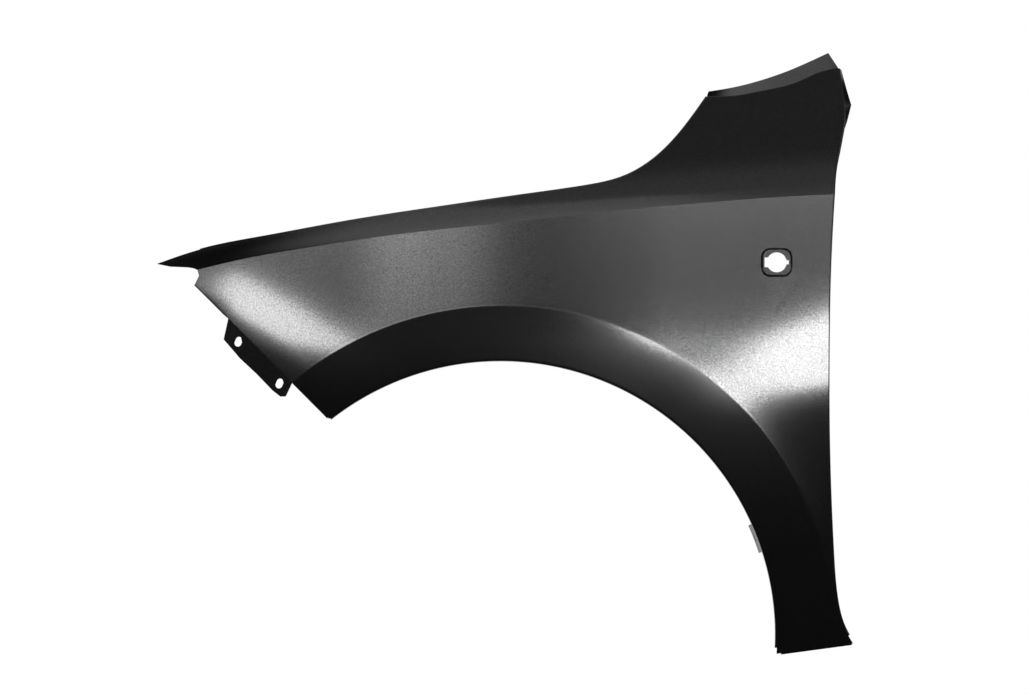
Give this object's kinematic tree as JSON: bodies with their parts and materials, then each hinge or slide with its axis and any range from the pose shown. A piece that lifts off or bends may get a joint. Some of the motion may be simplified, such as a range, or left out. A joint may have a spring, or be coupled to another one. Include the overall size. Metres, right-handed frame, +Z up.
{
  "type": "car fender",
  "caption": "Bare left front fender pressed from sheet steel, with wheel arch lip, shoulder crease, bonnet shelf, door return and repeater pocket.",
  "frame": {"origin": "underside of the bonnet-side shelf, beside the bolt hole of its second tab", "axes": "+X to the rear of the car, +Z up, -Y out through the outer skin"},
  "size_m": [0.8702, 0.2121, 0.7521],
  "materials": {
    "black_primer": "satin black dip primer on steel"
  },
  "bodies": {
    "root": {"fender_panel": "black_primer"}
  },
  "joints": []
}
